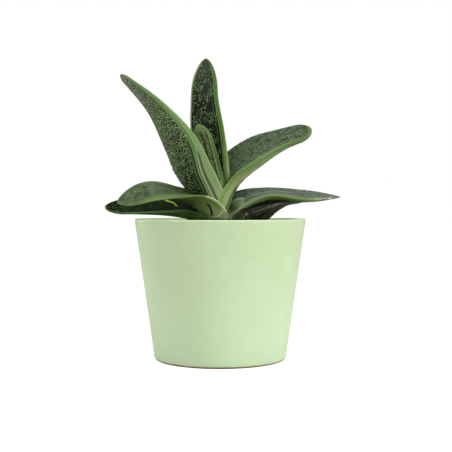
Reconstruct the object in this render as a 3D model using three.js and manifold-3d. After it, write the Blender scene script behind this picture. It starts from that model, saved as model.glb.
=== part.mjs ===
// A potted gasteria: eight keeled, warty leaves on a short rooted stem, in soil, in a tapered pot.
// Millimetres, +Z up. The origin is the middle of the pot's flat base.
import * as THREE from 'three';
import { mergeVertices } from 'three/addons/utils/BufferGeometryUtils.js';
import Module from 'manifold-3d';

const wasm = await Module();
wasm.setup();

// Pot
const potHeight = 98.2;
const potRimRadius = 60;
const potFootRadius = 43.5;
const potEdgeRound = 3;
const potWall = 5;
const potFloor = 7;
const potSides = 48;
const rimRound = 1.6;

// Soil
const soilLevel = 84.2;
const soilMound = 1.6;
const soilCrumb = 1.2;
const soilRings = 7;
const soilSides = 32;

// Stem and roots
const stemTop = 98;
const stemSides = 18;
const stemRings = 12;
const rootCount = 5;
const rootRadius = 3.2;
const rootTipRadius = 0.9;
const rootSides = 7;
const rootSteps = 6;

// Shared by the leaves
const clearance = 0.35;
const ringSpacing = 3.3;
const tipCrowding = 1.35;
const wartHeight = 0.85;
const wartFullHalf = 10;
const smoothFoot = 0.22;
const fullCover = 0.4;
const channelDepth = 0.06;
const leastTip = 0.35;
const lastRingAt = 0.999;

// Each leaf is given at six stations from its foot to its tip. facing points out of its upper
// face, curl folds its margins up round what it sheathes, and inset is how far in from its margin
// the keel runs. keelSide says which margin the keel lies near.
const leaves = {
  leaf_young_centre: {
    keelSide: 1,
    tip: { length: 13, power: 0.55 },
    stations: [
      { at: [1, -1, 97], facing: [0.3, 1, 0], width: 8, thickness: 4, curl: 0.3, inset: 1 },
      { at: [1.5, 0, 108], facing: [0.3, 1, 0], width: 10, thickness: 5, curl: 0.2, inset: 1 },
      { at: [-2, 2, 121], facing: [0.3, 1, 0], width: 13, thickness: 6, curl: 0, inset: 1 },
      { at: [-7, 3, 136], facing: [0.3, 1, 0.1], width: 15, thickness: 5, curl: 0, inset: 1 },
      { at: [-11, 3, 150], facing: [0.3, 1, 0.1], width: 15, thickness: 4, curl: 0, inset: 0.8 },
      { at: [-15.5, 4, 164.5], facing: [0.3, 1, 0.1], width: 14, thickness: 3, curl: 0, inset: 0.5 },
    ],
  },
  leaf_back_upright: {
    keelSide: -1,
    tip: { length: 22, power: 0.62 },
    stations: [
      { at: [1.5, 3.5, 95], facing: [-0.2, -1, 0], width: 12, thickness: 5, curl: 0.5, inset: 1 },
      { at: [1, 4, 107], facing: [-0.2, -1, 0.1], width: 16, thickness: 7, curl: 0.3, inset: 1.5 },
      { at: [-4.5, 7.5, 132.5], facing: [-0.3, -1, 0.1], width: 22.5, thickness: 8.5, curl: 0.05, inset: 1.5 },
      { at: [-9.4, 12, 160], facing: [-0.35, -1, 0.1], width: 25.2, thickness: 7, curl: 0, inset: 1.5 },
      { at: [-11.5, 17, 186.5], facing: [-0.35, -1, 0.1], width: 20.8, thickness: 5.5, curl: 0, inset: 1.5 },
      { at: [-10.3, 21, 213.5], facing: [-0.3, -1, 0.1], width: 18, thickness: 4, curl: 0, inset: 1 },
    ],
  },
  leaf_left_upper: {
    keelSide: 1,
    tip: { length: 5, power: 0.5 },
    stations: [
      { at: [-1, -1, 93], facing: [0.6, 0.8, 0], width: 14, thickness: 4, curl: 0.6, inset: 5 },
      { at: [-4, -2, 106], facing: [0.6, 0.8, 0.1], width: 20.5, thickness: 6.5, curl: 0.4, inset: 6.5 },
      { at: [-17, -7, 128.5], facing: [0.55, 0.85, 0.2], width: 31, thickness: 10, curl: 0.1, inset: 6 },
      { at: [-27.5, -11, 151], facing: [0.45, 0.9, 0.3], width: 27.5, thickness: 8, curl: 0, inset: 2.5 },
      { at: [-45, -14, 175.5], facing: [0.4, 0.9, 0.3], width: 14.5, thickness: 5, curl: 0, inset: 1 },
      { at: [-68, -16, 196.8], facing: [0.35, 0.9, 0.3], width: 4.6, thickness: 2.4, curl: 0, inset: 0.8 },
    ],
  },
  leaf_right_upper: {
    keelSide: -1,
    tip: { length: 11, power: 0.5 },
    stations: [
      { at: [2.5, 0, 92.5], facing: [-1, -0.1, 0], width: 14, thickness: 3.5, curl: 0.7, inset: 0 },
      { at: [0.1, 0.6, 105], facing: [-1.1, -0.11, 0.2], width: 20.5, thickness: 7.5, curl: 0.46, inset: 2.3 },
      { at: [4.3, 8, 128.8], facing: [-0.6, -0.61, 0.79], width: 28.8, thickness: 9.3, curl: 0.29, inset: 1.5 },
      { at: [22.5, 10, 146.1], facing: [-0.52, -0.87, 0.48], width: 23.8, thickness: 7.5, curl: 0.11, inset: -0.6 },
      { at: [44, 13, 156], facing: [-0.35, -0.95, 0.35], width: 15, thickness: 4.5, curl: 0, inset: -1 },
      { at: [65.5, 14, 162], facing: [-0.35, -0.95, 0.35], width: 12.5, thickness: 3, curl: 0, inset: -0.5 },
    ],
  },
  leaf_left_lower: {
    keelSide: -1,
    tip: { length: 18, power: 0.55 },
    stations: [
      { at: [-7.5, -1, 92], facing: [1, 0, 0.1], width: 18, thickness: 6, curl: 0.9, inset: 4 },
      { at: [-6.5, -2.5, 103], facing: [0.9, 0, 0.45], width: 27.5, thickness: 10, curl: 0.8, inset: 4 },
      { at: [-12, -7, 113.5], facing: [0.5, 0, 1], width: 24, thickness: 10.5, curl: 0.2, inset: 4 },
      { at: [-28, -10, 117], facing: [0.1, -0.35, 0.9], width: 21, thickness: 7, curl: 0, inset: 4 },
      { at: [-49, -13, 117.5], facing: [-0.15, -0.7, 0.75], width: 22, thickness: 5.5, curl: 0, inset: 4 },
      { at: [-70.5, -15, 109.5], facing: [-0.2, -0.8, 0.65], width: 16, thickness: 4, curl: 0, inset: 4 },
    ],
  },
  leaf_right_lower: {
    keelSide: 1,
    tip: { length: 22, power: 0.7 },
    stations: [
      { at: [11, -3.5, 91.5], facing: [-1, 0, 0.1], width: 27, thickness: 6, curl: 0.8, inset: 8 },
      { at: [10.5, -4.5, 101.5], facing: [-0.85, -0.3, 0.5], width: 30, thickness: 8.5, curl: 0.75, inset: 8 },
      { at: [14.5, -6, 111.5], facing: [-0.4, -0.6, 1], width: 25.5, thickness: 10, curl: 0.12, inset: 8 },
      { at: [34.5, -7, 117], facing: [0, -0.3, 1], width: 21.5, thickness: 9.5, curl: 0.03, inset: 8 },
      { at: [59, -7, 115], facing: [0.05, -0.43, 1], width: 18.5, thickness: 5.5, curl: 0, inset: 8 },
      { at: [83.5, -7, 113.5], facing: [0.05, -0.45, 1], width: 10, thickness: 2.5, curl: 0, inset: 5 },
    ],
  },
  leaf_left_lowest: {
    keelSide: 1,
    tip: { length: 14, power: 0.6 },
    stations: [
      { at: [-10, 0, 91], facing: [1, 0, 0.2], width: 22, thickness: 5, curl: 0.5, inset: 3 },
      { at: [-12.5, 0, 97], facing: [0.8, 0, 0.6], width: 25, thickness: 7.5, curl: 0.35, inset: 3 },
      { at: [-20.5, 3, 106.5], facing: [0.15, -0.45, 1], width: 23, thickness: 8, curl: 0.15, inset: 3 },
      { at: [-36, 6, 108.2], facing: [0, -0.6, 0.85], width: 19.5, thickness: 6, curl: 0, inset: 3 },
      { at: [-59, 8, 107.5], facing: [0, -0.7, 0.75], width: 16.5, thickness: 4.5, curl: 0, inset: 3 },
      { at: [-82, 8, 106.5], facing: [0, -0.75, 0.7], width: 12.5, thickness: 3.5, curl: 0, inset: 2 },
    ],
  },
  leaf_right_lowest: {
    keelSide: 1,
    tip: { length: 16, power: 0.6 },
    stations: [
      { at: [11.5, 2, 91], facing: [-1, 0, 0.2], width: 22, thickness: 5, curl: 0.5, inset: 6 },
      { at: [11.6, 5, 97], facing: [-0.8, -0.2, 0.6], width: 23, thickness: 8, curl: 0.3, inset: 6 },
      { at: [20, 12, 101.3], facing: [-0.29, -0.42, 1], width: 22.5, thickness: 13, curl: 0.1, inset: 6.5 },
      { at: [34.8, 20, 109], facing: [-0.1, -0.1, 1], width: 20.6, thickness: 11, curl: 0, inset: 6.5 },
      { at: [49, 27, 110.9], facing: [0, 0, 1], width: 18.5, thickness: 4.1, curl: 0, inset: 4 },
      { at: [63, 33, 112], facing: [0, -0.1, 1], width: 12, thickness: 3.5, curl: 0, inset: 4 },
    ],
  },
};

const vector = ([x, y, z]) => new THREE.Vector3(x, y, z);
const stationCurve = (points) => new THREE.CatmullRomCurve3(points, false, 'catmullrom', 0.5);

// The same draw each run, from 0 to 1.
const seededNumber = (seed) => {
  const wave = Math.sin(seed * 127.1 + 311.7) * 43758.5453;
  return wave - Math.floor(wave);
};

// Merges shared corners, drops flattened triangles and turns every face outwards.
function closedBody(geometry) {
  geometry.deleteAttribute('normal');
  geometry.deleteAttribute('uv');
  const merged = mergeVertices(geometry, 1e-4);
  const corner = merged.index.array;
  const place = merged.attributes.position;
  const faces = [];
  const a = new THREE.Vector3();
  const b = new THREE.Vector3();
  const c = new THREE.Vector3();
  let volume = 0;
  for (let i = 0; i < corner.length; i += 3) {
    const [p, q, r] = [corner[i], corner[i + 1], corner[i + 2]];
    if (p === q || q === r || r === p) continue;
    faces.push([p, q, r]);
    a.fromBufferAttribute(place, p);
    b.fromBufferAttribute(place, q);
    c.fromBufferAttribute(place, r);
    volume += a.dot(b.cross(c));
  }
  const outward = volume > 0 ? faces : faces.map(([p, q, r]) => [p, r, q]);
  merged.setIndex(outward.flat());
  return merged;
}

// Skins a row of closed rings of equal length and caps both ends. The diagonals alternate, so
// they never join two of the corners that raiseWarts lifts.
function skinRings(rings, endOutline) {
  const count = rings[0].length;
  const index = [];
  for (let i = 0; i < rings.length - 1; i += 1) {
    for (let j = 0; j < count; j += 1) {
      const next = (j + 1) % count;
      const [low, high] = [i * count, (i + 1) * count];
      if ((i + j) % 2 === 0) {
        index.push(low + j, low + next, high + j, low + next, high + next, high + j);
      } else {
        index.push(low + j, low + next, high + next, low + j, high + next, high + j);
      }
    }
  }
  const top = (rings.length - 1) * count;
  for (const [p, q, r] of THREE.ShapeUtils.triangulateShape(endOutline, [])) {
    const turn = THREE.ShapeUtils.isClockWise(endOutline) ? [p, q, r] : [p, r, q];
    index.push(...turn);
    index.push(top + turn[0], top + turn[2], top + turn[1]);
  }
  const geometry = new THREE.BufferGeometry();
  geometry.setAttribute('position', new THREE.Float32BufferAttribute(
    rings.flat().flatMap((point) => point.toArray()), 3));
  geometry.setIndex(index);
  return closedBody(geometry);
}

function toSolid(geometry) {
  return new wasm.Manifold(new wasm.Mesh({
    numProp: 3,
    vertProperties: new Float32Array(geometry.attributes.position.array),
    triVerts: new Uint32Array(geometry.index.array),
  }));
}

function toGeometry(solid) {
  const mesh = solid.getMesh();
  const geometry = new THREE.BufferGeometry();
  geometry.setAttribute('position', new THREE.Float32BufferAttribute(mesh.vertProperties, 3));
  geometry.setIndex(Array.from(mesh.triVerts));
  return geometry;
}

// The room a body needs: itself, and itself with its whole surface moved out along its normals.
function roomFor(geometry, distance) {
  const bigger = geometry.clone();
  bigger.computeVertexNormals();
  const { position, normal } = bigger.attributes;
  for (let i = 0; i < position.count; i += 1) {
    position.setXYZ(
      i,
      position.getX(i) + normal.getX(i) * distance,
      position.getY(i) + normal.getY(i) * distance,
      position.getZ(i) + normal.getZ(i) * distance,
    );
  }
  bigger.deleteAttribute('normal');
  return toSolid(bigger).add(toSolid(geometry));
}

const largestBody = (solid) => solid.decompose().sort((a, b) => b.volume() - a.volume())[0];

// Outline across a leaf, from its thin margin over the upper face, down the narrow side face to
// the keel, and back under the broad lower face. x runs across, y up.
function leafOutline(half, thick, inset, curl) {
  const keel = half - inset * Math.min(1, half / 8);
  const channel = channelDepth * thick;
  const upper = [
    [-1, -0.1 * thick], [-1, 0], [-0.84, 0.03 * thick], [-0.62, 0], [-0.33, -channel],
    [0, -1.3 * channel], [0.33, -channel], [0.66, 0], [0.92, 0.02 * thick], [1, -0.02 * thick],
  ].map(([across, up]) => [across * half, up]);
  const side = [[(half + keel) / 2, -0.5 * thick], [keel, -0.9 * thick]];
  const lower = [[0.93, -1], [0.8, -0.97], [0.61, -0.84], [0.42, -0.66], [0.24, -0.44], [0.08, -0.25]]
    .map(([share, down]) => [share * (keel + half) - half, down * thick]);
  const corners = [...upper, ...side, ...lower];
  const lift = ([across, up]) => up + (curl * across * across) / half;
  const rounded = (before, at, after) => (before + 4 * at + after) / 6;
  return corners.map((corner, i) => {
    const before = corners[(i + corners.length - 1) % corners.length];
    const after = corners[(i + 1) % corners.length];
    return new THREE.Vector2(
      rounded(before[0], corner[0], after[0]),
      rounded(lift(before), lift(corner), lift(after)),
    );
  });
}

// Columns of the outline that carry warts, with the way each face looks.
const wartRows = [
  { columns: [3, 4, 5, 6, 7], push: 1 },
  { columns: [13, 14, 15, 16], push: -1 },
];

// Every other corner of both broad faces is raised, in rows that alternate like bricks. The
// sheathing foot stays smooth, and the warts shrink where the leaf narrows.
function raiseWarts(outline, ring, along, half) {
  const { smoothstep } = THREE.MathUtils;
  const cover = smoothstep(along, smoothFoot, fullCover) * Math.min(1, half / wartFullHalf);
  for (const { columns, push } of wartRows) {
    for (const column of columns) {
      if ((column + ring) % 2 === 1) continue;
      const size = 0.6 + 0.4 * seededNumber(ring * 31 + column);
      outline[column].y += push * wartHeight * size * cover;
    }
  }
}

function leafGeometry(leaf) {
  const spine = stationCurve(leaf.stations.map(({ at }) => vector(at)));
  const facing = stationCurve(leaf.stations.map((station) => vector(station.facing)));
  const profile = stationCurve(
    leaf.stations.map(({ width, thickness, curl }) => new THREE.Vector3(width / 2, thickness, curl)));
  const keel = stationCurve(leaf.stations.map(({ inset }) => new THREE.Vector3(inset, 0, 0)));
  const length = spine.getLength();
  const steps = Math.round(length / ringSpacing);
  const rings = [];
  let endOutline = null;
  for (let ring = 0; ring <= steps; ring += 1) {
    const along = Math.min(1 - (1 - ring / steps) ** tipCrowding, lastRingAt);
    const t = spine.getUtoTmapping(along);
    const middle = spine.getPoint(t);
    const tangent = spine.getTangent(t);
    const up = facing.getPoint(t);
    up.addScaledVector(tangent, -up.dot(tangent)).normalize();
    const across = new THREE.Vector3().crossVectors(up, tangent).multiplyScalar(leaf.keelSide);
    const { x: half, y: thick, z: curl } = profile.getPoint(t);
    const intoTip = Math.max(0, 1 - (length * (1 - along)) / leaf.tip.length);
    const narrowing = (1 - intoTip ** 2) ** leaf.tip.power;
    const outline = leafOutline(
      Math.max(half * narrowing, leastTip),
      Math.max(thick * narrowing ** 0.6, 2 * leastTip),
      keel.getPoint(t).x,
      curl,
    );
    endOutline = endOutline ?? outline.map((corner) => corner.clone());
    raiseWarts(outline, ring, along, half * narrowing);
    rings.push(outline.map(({ x, y }) => middle.clone()
      .addScaledVector(across, x)
      .addScaledVector(up, y)));
  }
  return skinRings(rings, endOutline);
}

// Turns an outline of radius and height round the Z axis.
function turned(outline, sides) {
  const geometry = new THREE.LatheGeometry(outline, sides);
  geometry.rotateX(Math.PI / 2);
  return closedBody(geometry);
}

const potTaper = (potRimRadius - potFootRadius - potEdgeRound) / (potHeight - potEdgeRound);
const potRadiusAt = (height) => potRimRadius - potTaper * (potHeight - height);

function potGeometry() {
  const outline = new THREE.Path();
  outline.moveTo(0, 0);
  outline.lineTo(potFootRadius, 0);
  outline.quadraticCurveTo(potRadiusAt(0), 0, potRadiusAt(potEdgeRound), potEdgeRound);
  outline.lineTo(potRadiusAt(potHeight - rimRound), potHeight - rimRound);
  outline.quadraticCurveTo(potRimRadius, potHeight, potRimRadius - rimRound, potHeight);
  outline.lineTo(potRimRadius - potWall + rimRound, potHeight);
  outline.quadraticCurveTo(
    potRimRadius - potWall, potHeight,
    potRadiusAt(potHeight - rimRound) - potWall, potHeight - rimRound);
  outline.lineTo(potRadiusAt(2 * potFloor) - potWall, 2 * potFloor);
  outline.quadraticCurveTo(
    potRadiusAt(potFloor) - potWall, potFloor, potRadiusAt(potFloor) - potWall - potFloor, potFloor);
  outline.lineTo(0, potFloor);
  return turned(outline.getPoints(3), potSides);
}

// Height of the soil over the pot's opening, with a crumb at each corner of its mesh.
function soilHeight(x, y, corner) {
  const reach = Math.hypot(x, y) / (potRadiusAt(soilLevel) - potWall);
  return soilLevel + soilMound * (1 - reach ** 2) + soilCrumb * seededNumber(corner);
}

function soilGeometry() {
  const inner = (height) => potRadiusAt(height) - potWall - clearance;
  const bottom = potFloor + clearance;
  const outline = new THREE.Path();
  outline.moveTo(0, bottom);
  outline.lineTo(inner(potFloor) - potFloor, bottom);
  outline.quadraticCurveTo(inner(potFloor), bottom, inner(2 * potFloor), 2 * potFloor + clearance);
  outline.lineTo(inner(soilLevel), soilLevel);
  for (let ring = soilRings - 1; ring >= 0; ring -= 1) {
    outline.lineTo((inner(soilLevel) * ring) / soilRings, soilLevel);
  }
  const geometry = turned(outline.getPoints(2), soilSides);
  const place = geometry.attributes.position;
  for (let i = 0; i < place.count; i += 1) {
    const onTop = place.getZ(i) > soilLevel - 0.01;
    const atWall = Math.hypot(place.getX(i), place.getY(i)) > inner(soilLevel) - 0.01;
    if (onTop && !atWall) place.setZ(i, soilHeight(place.getX(i), place.getY(i), i));
  }
  return geometry;
}

function stemCoreGeometry() {
  const outline = new THREE.SplineCurve([
    [0, 58], [4, 60], [7.5, 72], [9.5, 84], [10.5, 88], [10, 91], [7, 95], [0, stemTop],
  ].map(([radius, height]) => new THREE.Vector2(radius, height)));
  const points = outline.getPoints(stemRings).map(({ x, y }) => new THREE.Vector2(Math.max(0, x), y));
  return turned(points, stemSides);
}

// One fleshy root, tapering as it wanders out and down.
function rootGeometry(number) {
  const heading = (number + 0.35 * seededNumber(number)) * ((2 * Math.PI) / rootCount);
  const drop = 24 + 14 * seededNumber(number + 20);
  const points = [[2, 79], [11, 72], [20, 63], [28, 60 - drop]].map(([reach, height], i) => {
    const bend = heading + 0.25 * (seededNumber(number * 7 + i) - 0.5) * i;
    return new THREE.Vector3(reach * Math.cos(bend), reach * Math.sin(bend), height);
  });
  const path = stationCurve(points);
  const frames = path.computeFrenetFrames(rootSteps, false);
  const rings = [];
  let endOutline = null;
  for (let i = 0; i <= rootSteps; i += 1) {
    const middle = path.getPointAt(i / rootSteps);
    const radius = THREE.MathUtils.lerp(rootRadius, rootTipRadius, i / rootSteps);
    const outline = Array.from({ length: rootSides }, (_, side) => {
      const angle = (2 * Math.PI * side) / rootSides;
      return new THREE.Vector2(radius * Math.cos(angle), radius * Math.sin(angle));
    });
    endOutline = endOutline ?? outline;
    rings.push(outline.map(({ x, y }) => middle.clone()
      .addScaledVector(frames.normals[i], x)
      .addScaledVector(frames.binormals[i], y)));
  }
  return skinRings(rings, endOutline);
}

const stemParts = [stemCoreGeometry(), ...Array.from({ length: rootCount }, (_, i) => rootGeometry(i))];
const joined = (solids) => solids.reduce((sum, solid) => sum.add(solid));
const stemSolid = joined(stemParts.map(toSolid));
const stemRoom = joined(stemParts.map((part) => roomFor(part, clearance)));

const soilSolid = largestBody(toSolid(soilGeometry()).subtract(stemRoom));

// From the innermost leaf outwards, each leaf's foot is cut to wrap the stem and every leaf
// inside it.
const leafSolids = {};
let taken = stemRoom;
for (const [name, leaf] of Object.entries(leaves)) {
  const whole = leafGeometry(leaf);
  leafSolids[name] = largestBody(toSolid(whole).subtract(taken));
  taken = taken.add(roomFor(whole, clearance));
}

const glaze = new THREE.MeshStandardMaterial({ color: '#c3d5a8', roughness: 0.45, metalness: 0 });
const earth = new THREE.MeshStandardMaterial({ color: '#3a2a1e', roughness: 0.95, metalness: 0 });
const stemSkin = new THREE.MeshStandardMaterial({ color: '#a59a6c', roughness: 0.8, metalness: 0 });
const leafGreen = new THREE.MeshStandardMaterial({ color: '#3f5a38', roughness: 0.5, metalness: 0 });
const youngGreen = new THREE.MeshStandardMaterial({ color: '#5a7a48', roughness: 0.5, metalness: 0 });

function named(name, geometry, material) {
  const mesh = new THREE.Mesh(geometry, material);
  mesh.name = name;
  return mesh;
}

const plant = new THREE.Group();
plant.add(named('stem_with_roots', toGeometry(stemSolid), stemSkin));
for (const [name, solid] of Object.entries(leafSolids)) {
  plant.add(named(name, toGeometry(solid), name === 'leaf_young_centre' ? youngGreen : leafGreen));
}

const pottedGasteria = new THREE.Group();
pottedGasteria.add(named('pot', potGeometry(), glaze));
pottedGasteria.add(named('soil', toGeometry(soilSolid), earth));
pottedGasteria.add(plant);

export default pottedGasteria;
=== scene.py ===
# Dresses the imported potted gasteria: warty keeled leaves, rooted stem, gritty soil, glazed pot.
import math
import bpy
import numpy as np
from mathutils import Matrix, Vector


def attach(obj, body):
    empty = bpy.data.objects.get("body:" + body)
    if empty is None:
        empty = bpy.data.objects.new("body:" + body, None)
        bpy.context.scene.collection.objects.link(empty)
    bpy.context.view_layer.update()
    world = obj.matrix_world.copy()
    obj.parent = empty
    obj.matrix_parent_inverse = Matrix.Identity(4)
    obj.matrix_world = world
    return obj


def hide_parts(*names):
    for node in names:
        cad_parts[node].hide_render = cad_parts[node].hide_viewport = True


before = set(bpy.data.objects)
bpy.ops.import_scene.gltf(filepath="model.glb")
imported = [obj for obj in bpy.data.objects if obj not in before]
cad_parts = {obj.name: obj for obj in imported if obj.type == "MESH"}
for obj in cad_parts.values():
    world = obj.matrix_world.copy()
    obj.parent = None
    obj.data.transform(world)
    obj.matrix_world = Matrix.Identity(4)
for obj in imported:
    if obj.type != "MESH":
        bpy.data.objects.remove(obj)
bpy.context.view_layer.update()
mm = 0.001


# Shader and geometry trees, written as expressions

def shadeOf(red, green, blue):
    # a screen colour, 0 to 255, as the linear colour that a shader takes
    parts = [min(max(value, 0), 255) / 255 for value in (red, green, blue)]
    return tuple(v / 12.92 if v < 0.04045 else ((v + 0.055) / 1.055) ** 2.4 for v in parts) + (1.0,)


def dimmed(colour, by):
    return tuple(value * by for value in colour)


def asMath(operation, turned=False):
    # an operator of a wire, which adds one Math node
    def act(self, other):
        pair = (other, self) if turned else (self, other)
        return self.plan.math(operation, *pair)
    return act


class Wire:
    # one output socket in a tree; arithmetic on it adds Math nodes
    __add__, __radd__ = asMath("ADD"), asMath("ADD", True)
    __sub__, __rsub__ = asMath("SUBTRACT"), asMath("SUBTRACT", True)
    __mul__, __rmul__ = asMath("MULTIPLY"), asMath("MULTIPLY", True)
    __truediv__ = asMath("DIVIDE")

    def __init__(self, plan, socket):
        self.plan = plan
        self.socket = socket

    def rise(self, low, high):
        # 0 up to low, 1 from high on, smooth between
        span = {"Value": self, "From Min": low, "From Max": high, "To Min": 0.0, "To Max": 1.0}
        return self.plan.add("ShaderNodeMapRange", span, interpolation_type="SMOOTHSTEP")

    def fall(self, low, high):
        return 1 - self.rise(low, high)

    def clipped(self):
        return self.plan.add("ShaderNodeClamp", {"Value": self})


class Plan:
    # a node tree under construction
    def __init__(self, tree):
        self.tree = tree

    def entry(self, node, key):
        if isinstance(key, int):
            return node.inputs[key]
        return next(socket for socket in node.inputs if socket.name == key and socket.enabled)

    def add(self, kind, values=None, out=0, **settings):
        node = self.tree.nodes.new(kind)
        for key, value in settings.items():
            setattr(node, key, value)
        for key, value in (values or {}).items():
            self.feed(self.entry(node, key), value)
        if not node.outputs:
            return None
        if isinstance(out, str):
            out = next(number for number, socket in enumerate(node.outputs)
                       if socket.name == out and socket.enabled)
        return Wire(self, node.outputs[out])

    def feed(self, socket, value):
        if isinstance(value, Wire):
            self.tree.links.new(value.socket, socket)
        else:
            socket.default_value = value

    def other(self, wire, name):
        # another output of the node that a wire comes from
        return Wire(self, wire.socket.node.outputs[name])

    def math(self, operation, first, second=0.0):
        return self.add("ShaderNodeMath", {0: first, 1: second}, operation=operation)

    def largest(self, first, second):
        return self.math("MAXIMUM", first, second)

    def mix(self, share, first, second):
        # a plain tuple is a screen colour
        first, second = (shadeOf(*tone) if isinstance(tone, tuple) else tone for tone in (first, second))
        return self.add("ShaderNodeMix", {0: share, 6: first, 7: second}, out=2, data_type="RGBA")

    def scaled(self, vector, by):
        return self.add("ShaderNodeVectorMath", {0: vector, 1: by}, operation="MULTIPLY")

    def joined(self, x=0.0, y=0.0, z=0.0):
        return self.add("ShaderNodeCombineXYZ", {"X": x, "Y": y, "Z": z})

    def axis(self, vector, name):
        return self.add("ShaderNodeSeparateXYZ", {"Vector": vector}, out=name)

    def number(self, name):
        return self.add("ShaderNodeAttribute", out="Fac", attribute_name=name)

    def place(self, name):
        return self.add("ShaderNodeAttribute", out="Vector", attribute_name=name)

    def noise(self, vector, scale, detail=2.0, rough=0.5, twist=0.0, out=0):
        return self.add("ShaderNodeTexNoise", out=out, values={
            "Vector": vector, "Scale": scale, "Detail": detail, "Roughness": rough, "Distortion": twist})

    def cells(self, vector, scale):
        return self.add("ShaderNodeTexVoronoi", {"Vector": vector, "Scale": scale}, out="Distance")

    def objectPlace(self):
        return self.add("ShaderNodeTexCoord", out="Object")

    def bump(self, height, distance, strength=1.0):
        return self.add("ShaderNodeBump", {"Height": height, "Distance": distance, "Strength": strength})

    def alongLeaf(self, share, tones):
        # a colour that runs from the leaf's foot over its middle to its tip
        foot, middle, tip = tones
        return self.mix(share.rise(0.55, 1.0), self.mix(share.rise(0.12, 0.55), foot, middle), tip)

    def strip(self, distance, at, width):
        # 1 on a line of that width at that distance, soft at both sides
        near, far = distance - (at - width / 2), distance - (at + width / 2)
        return near.rise(-0.15, 0.2) * far.fall(-0.2, 0.15)

    def stored(self, geometry, name, value):
        return self.add("GeometryNodeStoreNamedAttribute", data_type="FLOAT", domain="POINT",
                        values={"Geometry": geometry, "Name": name, "Value": value})

    def position(self):
        return self.add("GeometryNodeInputPosition")

    def drawn(self, low, high, seed):
        # a random number, or a random vector where low is a tuple
        kind = "FLOAT_VECTOR" if isinstance(low, tuple) else "FLOAT"
        return self.add("FunctionNodeRandomValue", {"Min": low, "Max": high, "Seed": seed}, out="Value",
                        data_type=kind)

    def turned(self, rotation, angles):
        # a rotation turned further by angles about its own axes
        euler = self.add("FunctionNodeEulerToRotation", {"Euler": angles})
        return self.add("FunctionNodeRotateRotation", {"Rotation": rotation, "Rotate By": euler},
                        rotation_space="LOCAL")

    def spun(self, rotation, seed):
        return self.turned(rotation, self.joined(z=self.drawn(0.0, 6.283, seed)))

    def named(self, name):
        return self.add("GeometryNodeInputNamedAttribute", {"Name": name}, out="Attribute",
                        data_type="FLOAT")

    def strewn(self, base, cover, apart, most, seed):
        # points strewn over the base where the cover lets them, never closer than apart
        return self.add("GeometryNodeDistributePointsOnFaces", distribute_method="POISSON", values={
            "Mesh": base, "Distance Min": apart, "Density Max": most, "Density Factor": cover,
            "Seed": seed})

    def planted(self, spots, shape, stand, size):
        # a copy of the shape on each spot, as real mesh
        copies = self.add("GeometryNodeInstanceOnPoints", {
            "Points": spots, "Instance": shape, "Rotation": stand, "Scale": size})
        return self.add("GeometryNodeRealizeInstances", {"Geometry": copies})

    def merged(self, *parts):
        node = self.tree.nodes.new("GeometryNodeJoinGeometry")
        for part in reversed(parts):
            self.tree.links.new(part.socket, node.inputs[0])
        return Wire(self, node.outputs[0])

    def deliver(self, geometry, finish):
        solid = self.add("GeometryNodeRealizeInstances", {"Geometry": geometry})
        done = self.add("GeometryNodeSetMaterial", {"Geometry": solid, "Material": finish})
        leave = self.tree.nodes.new("NodeGroupOutput")
        self.tree.links.new(done.socket, leave.inputs[0])
        return self.tree


def newFinish(name):
    finish = bpy.data.materials.new(name)
    finish.use_nodes = True
    finish.node_tree.nodes.clear()
    return finish, Plan(finish.node_tree)


def closeFinish(plan, **sockets):
    names = {"colour": "Base Color", "roughness": "Roughness", "normal": "Normal",
             "specular": "Specular IOR Level"}
    shader = plan.add("ShaderNodeBsdfPrincipled", {names[key]: value for key, value in sockets.items()})
    plan.add("ShaderNodeOutputMaterial", {"Surface": shader})


def newTree(name, **inputs):
    # a geometry tree with one socket for each named input, and the wires that they come in on
    tree = bpy.data.node_groups.new(name, "GeometryNodeTree")
    tree.is_modifier = True
    tree.interface.new_socket("Base", in_out="INPUT", socket_type="NodeSocketGeometry")
    for label, kind in inputs.items():
        tree.interface.new_socket(label, in_out="INPUT", socket_type="NodeSocket" + kind)
    tree.interface.new_socket("Piece", in_out="OUTPUT", socket_type="NodeSocketGeometry")
    plan = Plan(tree)
    entry = tree.nodes.new("NodeGroupInput")
    return plan, {socket.name: Wire(plan, socket) for socket in entry.outputs if socket.name}


# Meshes

def smoothRise(low, high, value):
    share = np.clip((np.asarray(value, float) - low) / (high - low), 0, 1)
    return share * share * (3 - 2 * share)


def scattered(wave):
    # a repeatable random number from 0 to 1 for any number
    wave = np.sin(wave) * 43758.5453
    return wave - np.floor(wave)


def softNoise(points, size, seed):
    # smooth noise from 0 to 1, in cells of that size
    at = np.asarray(points, float) / size
    cell = np.floor(at)
    part = smoothRise(0, 1, at - cell)
    total = np.zeros(len(at))
    for corner in np.ndindex(2, 2):
        value = scattered((cell + corner) @ (127.1, 311.7) + seed * 17.31)
        total += np.prod(np.where(corner, part, 1 - part), axis=1) * value
    return total


def turnOutward(mesh):
    # turns every face round if the mesh encloses a negative volume
    mesh.calc_loop_triangles()
    points = np.empty(len(mesh.vertices) * 3)
    mesh.vertices.foreach_get("co", points)
    corners = np.empty(len(mesh.loop_triangles) * 3, int)
    mesh.loop_triangles.foreach_get("vertices", corners)
    a, b, c = points.reshape(-1, 3)[corners.reshape(-1, 3)].transpose(1, 0, 2)
    if (a * np.cross(b, c)).sum() < 0:
        mesh.flip_normals()


def setFields(mesh, fields):
    # a number or a place for each point, under each name
    for key, values in fields.items():
        values = np.asarray(values, np.float32)
        kind, slot = ("FLOAT", "value") if values.ndim == 1 else ("FLOAT_VECTOR", "vector")
        mesh.attributes.new(key, kind, "POINT").data.foreach_set(slot, values.ravel())


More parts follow.
